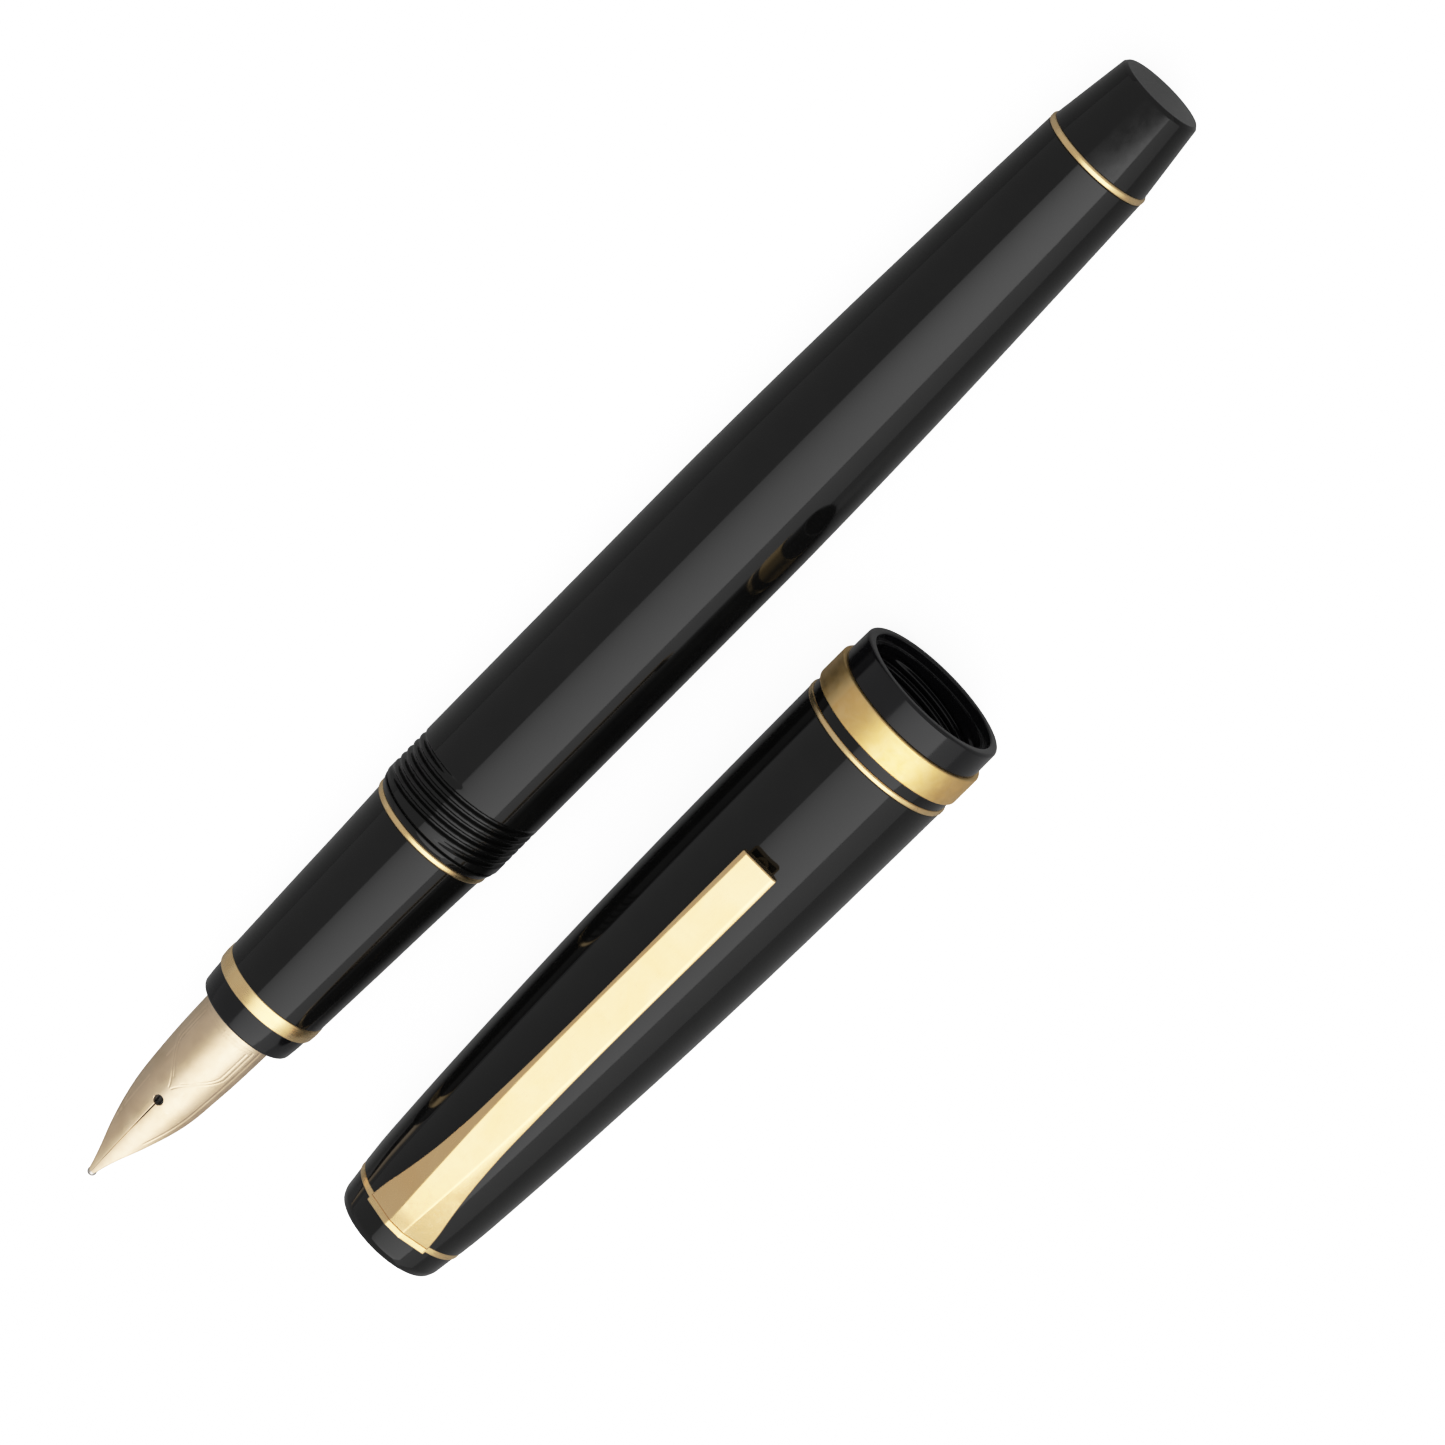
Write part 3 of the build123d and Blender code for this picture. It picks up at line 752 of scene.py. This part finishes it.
seal_front, seal_rear = span("piston_seal")
seal_bore, seal_lip, seal_waist = 1.92, 2.69, 2.5
seal_outline = [
    (seal_front, seal_bore), (seal_front, seal_lip, 0.12), (48.3, seal_lip, 0.15), (48.5, seal_waist, 0.2),
    (49.0, seal_waist, 0.2), (49.2, seal_lip, 0.15), (seal_rear, seal_lip, 0.12), (seal_rear, seal_bore),
]
add_piece("piston_seal", turned(rounded(seal_outline), around=128), PEN, seal_rubber)


# ---------------------------------------------------------------- cap

STUD, STUD_HOLE = 2.0, 2.02
LIP_SOCKET, LIP_SPIGOT = 6.42, 6.4
CAP_BORE, LINER_SEAT, LINER_BORE = 5.95, 5.2, 4.3
CAP_THREAD_CREST = 5.66
SEAM = 0.015           # keeps the wide band clear of its neighbours

finial_front, finial_rear = span("cap_finial")
ring_front, ring_rear = span("clip_ring")
finial_outline = [
    (finial_front, 0), (finial_front, 2.4), (14.36, 4.62, 0.5), (15.1, 4.93, 1.5), (ring_front, 5.17, 0.05),
    (ring_front, STUD), (finial_rear, STUD, 0.2), (finial_rear, 0),
]
add_piece("cap_finial", turned(rounded(finial_outline, 8)), CAP, black_resin)

tube_end, narrow_front = span("cap_tube")
cap_side = curve(
    [
        (17.75, 5.3), (19.5, 5.49), (23, 5.73), (27, 5.96), (31.5, 6.18), (35.5, 6.35), (40, 6.53),
        (48, 6.78), (56, 6.94), (64, 7.03), (71.45, 7.08),
    ],
    0.11, 0.004,
)
cap_tube_outline = [(tube_end, STUD_HOLE), (tube_end, 5.27)]
cap_tube_outline += along(cap_side, tube_end + 0.03, narrow_front - 0.04, 80)
cap_tube_outline += [
    (narrow_front, 7.04), (narrow_front, LIP_SOCKET), (66.4, LIP_SOCKET), (66.4, CAP_BORE), (49.5, CAP_BORE),
    (49.5, LINER_SEAT), (24.4, LINER_SEAT), (24.4, STUD_HOLE),
]
add_piece("cap_tube", turned(cap_tube_outline), CAP, black_resin)

liner_front, liner_rear = span("inner_cap")
liner_radius = 5.18
liner_outline = [
    (liner_front, 0), (liner_front, liner_radius, 0.3), (liner_rear, liner_radius, 0.1),
    (liner_rear, 4.9, 0.08), (48.6, LINER_BORE, 0.3), (26.4, LINER_BORE, 0.8), (26.4, 0),
]
add_piece("inner_cap", turned(rounded(liner_outline)), CAP, liner_plastic)

add_piece("cap_narrow_band", sleeve(*span("cap_narrow_band"), LIP_SOCKET, 7.13, 0.16), CAP, trim_gold)
add_piece("band_spacer", sleeve(*span("band_spacer"), LIP_SOCKET, 6.98, 0.03), CAP, black_resin)
wide_front, wide_rear = span("cap_wide_band")
wide_band = sleeve(wide_front + SEAM, wide_rear - SEAM, LIP_SOCKET, 7.24, 0.16)
add_piece("cap_wide_band", wide_band, CAP, band_gold)

lip_inner_front, mouth = span("cap_lip")
lip_thread = thread(
    72.6, CAP_THREAD_LEAD, CAP_THREAD_STARTS, turns=1.4, depth=-0.3, mouth=0.62, root=0.1,
    low=CAP_THREAD_CREST - 0.01, high=CAP_THREAD_CREST + 0.01,
)
mouth_bore, thread_front, counterbore_end = 6.05, 72.0, 77.35
cap_lip_outline = rounded(
    [
        (thread_front, CAP_BORE), (lip_inner_front, CAP_BORE), (lip_inner_front, LIP_SPIGOT),
        (wide_rear, LIP_SPIGOT), (wide_rear, 6.88, 0.05), (mouth, 6.85, 0.28), (mouth, mouth_bore, 0.14),
        (counterbore_end, mouth_bore, 0.05), (counterbore_end, CAP_THREAD_CREST),
    ]
)
cap_lip_outline += [(x, CAP_THREAD_CREST) for x in steps(77.2, 72.2, 125)] + [(thread_front, 5.7)]
add_piece("cap_lip", turned(cap_lip_outline, lip_thread), CAP, lip_resin)


# ---------------------------------------------------------------- clip

RING_RADIUS = 5.26
TAB_TOP, TAB_CROWN_HALF, TAB_HALF, TAB_SHOULDER = 6.15, 0.75, 3.08, 4.95
TAB_FROM = 0.5         # sine of the lowest angle that the tab reaches


def tabbed(x, radius, angle):
    """The clip ring grows a faceted tab upwards, which the arm springs from."""
    if radius < RING_RADIUS - 0.3:
        return radius
    across, up = abs(math.cos(angle)), math.sin(angle)
    if up < TAB_FROM:
        return radius
    rise = TAB_TOP - TAB_SHOULDER
    run = TAB_HALF - TAB_CROWN_HALF
    facet = (rise * TAB_HALF + run * TAB_SHOULDER) / (rise * across + run * up)
    tab = min(TAB_TOP / up, facet, TAB_HALF / max(across, 0.01))
    return radius + max(tab - RING_RADIUS, 0)


ring_outline = [
    (ring_front, STUD_HOLE), (ring_front, RING_RADIUS, 0.1), (ring_rear, RING_RADIUS, 0.1),
    (ring_rear, STUD_HOLE),
]
add_piece("clip_ring", turned(rounded(ring_outline), tabbed, around=360), CAP, trim_gold)

arm_root, arm_tip = span("clip_arm")
ARM_STATIONS = [
    # x, height of the top, half width of the crown, half width, drop of the bevels
    (17.8, 6.2, 0.75, 3.08, 1.2),
    (19.4, 6.75, 0.8, 2.95, 1.07),
    (21.5, 7.35, 0.9, 2.64, 0.87),
    (24.5, 7.92, 1.04, 2.26, 0.61),
    (28.5, 8.28, 1.22, 1.96, 0.37),
    (33, 8.4, 1.36, 1.84, 0.24),
    (arm_tip, 8.75, 1.42, 1.77, 0.175),
]
arm_top, arm_crown, arm_edge, arm_drop = [
    curve([(station[0], station[column]) for station in ARM_STATIONS]) for column in (1, 2, 3, 4)
]
ARM_THICKNESS, ARM_SIDE = 1.0, 0.55
CLEAR_OF_CAP_TO = 36
cap_clearance = curve(
    [(16, 5.2), (19.5, 5.61), (23, 5.85), (27, 6.08), (31.5, 6.3), (CLEAR_OF_CAP_TO, 6.47)]
)


def arm_section(x, inset):
    """The arm's cross-section at x: a flat crown, two bevels, short sides and a hollow underside."""
    top, half_crown, half_edge, drop = arm_top(x), arm_crown(x), arm_edge(x), arm_drop(x)
    side_bottom = top - drop - ARM_SIDE
    under = min(top - ARM_THICKNESS, side_bottom + drop)
    middle = (top + under) / 2
    right = [
        (half_crown, top, 0.5), (half_edge, top - drop, 0.12), (half_edge, side_bottom, 0.1),
        (half_crown, under, 0.2),
    ]
    left = [(-y, z, edge) for y, z, edge in reversed(right)]
    section = []
    for y, z in rounded(right + left):
        y -= math.copysign(min(inset, abs(y)), y)
        z += math.copysign(min(inset, abs(middle - z)), middle - z)
        reach = math.hypot(y, z)
        push = max(cap_clearance(x) / reach, 1.0) if x < CLEAR_OF_CAP_TO else 1.0
        section.append((y * push, z * push))
    return section


def make_clip_arm():
    """The sprung arm, with its free end rounded over and a ball foot under it."""
    bm = bmesh.new()
    edge = 0.16
    stations = [(x, 0.0) for x in steps(arm_root, arm_tip - edge, 120)]
    for turn in steps(0, math.pi / 2, 6)[1:]:
        stations.append((arm_tip - edge + edge * math.sin(turn), edge * (1 - math.cos(turn))))
    rings = [[bm.verts.new((x, y, z)) for y, z in arm_section(x, inset)] for x, inset in stations]
    bridge(bm, rings)
    bm.faces.new(rings[0])
    bm.faces.new(rings[-1])
    foot_radius, foot_top, around = 1.05, 8.09, 48
    foot_x = arm_tip - foot_radius
    angles = [math.tau * i / around for i in range(around)]
    rings = [[bm.verts.new((foot_x, 0, foot_top - foot_radius))] * around]
    for turn in steps(0, math.pi / 2, 16)[1:]:
        radius, z = foot_radius * math.sin(turn), foot_top - foot_radius * math.cos(turn)
        rings.append([bm.verts.new((foot_x + radius * math.cos(a), radius * math.sin(a), z)) for a in angles])
    bridge(bm, rings)
    bm.faces.new(rings[-1])
    return bm


add_piece("clip_arm", make_clip_arm(), CAP, clip_gold)


# ---------------------------------------------------------------- floor, light and camera

def add_table(name, height, shade, glow):
    """A plain matt table top. A little glow of its own keeps the shadows on it pale."""
    half = 8.0
    clouding = 0.01
    corners = [(-half, -half, height), (half, -half, height), (half, half, height), (-half, half, height)]
    mesh = bpy.data.meshes.new(name)
    mesh.from_pydata(corners, [], [(0, 1, 2, 3)])
    table = bpy.data.objects.new(name, mesh)
    bpy.context.scene.collection.objects.link(table)
    finish = Finish(
        name, Roughness=0.9, Specular_IOR_Level=0.0, Emission_Color=(1, 1, 1, 1), Emission_Strength=glow
    )
    light_shade, dark_shade = [(shade + change,) * 3 for change in (clouding, -clouding)]
    finish.use("Base Color", finish.mixed(finish.noise(0.02, detail=2), dark_shade, light_shade))
    mesh.materials.append(finish.material)
    return table


def add_floor():
    """The pale table. The pen's gloss mirrors a greyer one, so that its black edges stay dark."""
    pale = add_table("pale_table", height=0, shade=0.94, glow=1.2)
    pale.visible_glossy = False
    grey = add_table("mirrored_table", height=0.00001, shade=0.22, glow=0.0)
    grey.visible_camera = grey.visible_diffuse = grey.visible_shadow = grey.visible_transmission = False


def grade(light, at_bottom, at_top, bend, hot_end=1.0):
    """Grades a softbox from its lower long edge to its upper one, and brightens it towards its end at +X."""
    light.use_nodes = True
    tree = light.node_tree
    emission = tree.nodes["Emission"]
    place = tree.nodes.new("ShaderNodeSeparateXYZ")
    tree.links.new(tree.nodes.new("ShaderNodeNewGeometry").outputs["Parametric"], place.inputs[0])
    bent = tree.nodes.new("ShaderNodeMath")
    bent.operation = "POWER"
    bent.inputs[1].default_value = bend
    tree.links.new(place.outputs["Y"], bent.inputs[0])
    across = tree.nodes.new("ShaderNodeMapRange")
    across.inputs["To Min"].default_value, across.inputs["To Max"].default_value = at_bottom, at_top
    tree.links.new(bent.outputs[0], across.inputs["Value"])
    hot_from, hot_to = 0.82, 0.9
    lengthways = tree.nodes.new("ShaderNodeMapRange")
    lengthways.interpolation_type = "SMOOTHSTEP"
    for name, value in (("From Min", hot_from), ("From Max", hot_to), ("To Min", 1.0), ("To Max", hot_end)):
        lengthways.inputs[name].default_value = value
    tree.links.new(place.outputs["X"], lengthways.inputs["Value"])
    product = tree.nodes.new("ShaderNodeMath")
    product.operation = "MULTIPLY"
    tree.links.new(across.outputs[0], product.inputs[0])
    tree.links.new(lengthways.outputs[0], product.inputs[1])
    tree.links.new(product.outputs[0], emission.inputs["Strength"])


def add_panel(name, lean, distance, width, ends, radiance, glossy=True):
    """A flat softbox leaning from overhead towards -Y. Its long edges run along X between the two ends."""
    length, centre_x = ends[1] - ends[0], (ends[0] + ends[1]) / 2
    light = bpy.data.lights.new(name, "AREA")
    light.shape = "RECTANGLE"
    light.size, light.size_y = length, width
    light.energy = radiance * math.pi * length * width
    panel = bpy.data.objects.new(name, light)
    angle = math.radians(lean)
    back = Vector((0, -math.sin(angle), math.cos(angle)))
    panel.location = back * distance + Vector((centre_x, 0, 0))
    panel.matrix_world = Matrix.Translation(panel.location) @ Matrix.Rotation(angle, 4, "X")
    panel.visible_camera = False
    panel.visible_glossy = glossy
    bpy.context.scene.collection.objects.link(panel)
    return light


def add_world(brightness):
    world = bpy.data.worlds.new("studio")
    world.use_nodes = True
    background = world.node_tree.nodes["Background"]
    background.inputs["Color"].default_value = (brightness, brightness, brightness, 1)
    bpy.context.scene.world = world


def expose():
    """Plain contrast, with the brightest tones rolled off softly as film does."""
    settings = bpy.context.scene.view_settings
    settings.view_transform = "Standard"
    settings.use_curve_mapping = True
    mapping = settings.curve_mapping
    brightest, shown_white = 3.0, 2.6
    mapping.clip_max_x = brightest
    tones = mapping.curves[3]
    tones.points[1].location = (shown_white, 1.0)
    for scene_light, shown in ((0.25, 0.25), (0.5, 0.5), (0.8, 0.7), (1.2, 0.86), (1.8, 0.97)):
        tones.points.new(scene_light, shown)
    mapping.update()


def add_camera():
    """A long lens, high over the pen, tilted towards the tail. The pen runs from corner to corner."""
    tilt, turn = math.radians(16.98), math.radians(45.012)
    distance = 0.6483
    target = Vector((0.001912, 0.00049, 0.00595))
    along_pen = Vector((math.cos(tilt), 0, -math.sin(tilt)))
    across = Vector((0, 1, 0))
    back = Vector((math.sin(tilt), 0, math.cos(tilt)))
    right = along_pen * math.cos(turn) - across * math.sin(turn)
    up = along_pen * math.sin(turn) + across * math.cos(turn)
    lens = bpy.data.cameras.new("camera")
    lens.sensor_width = 36.0
    lens.lens = 207.0
    lens.clip_start, lens.clip_end = 0.01, 100
    camera = bpy.data.objects.new("camera", lens)
    place = Matrix((right, up, back)).transposed().to_4x4()
    place.translation = target + back * distance
    camera.matrix_world = place
    bpy.context.scene.collection.objects.link(camera)
    bpy.context.scene.camera = camera


add_floor()
key = add_panel("key_softbox", lean=19.5, distance=0.9, width=1.332, ends=(-1.56, 0.092), radiance=2.14)
grade(key, at_bottom=1.0, at_top=0.37, bend=2, hot_end=1.25)
side = add_panel("side_softbox", lean=73, distance=0.9, width=0.53, ends=(-1.5, 0.5), radiance=0.68)
grade(side, at_bottom=0.3, at_top=1.0, bend=1)
add_panel("ceiling", lean=0, distance=1.6, width=3.0, ends=(-1.5, 1.5), radiance=1.0, glossy=False)
add_world(0.46)
add_camera()
expose()
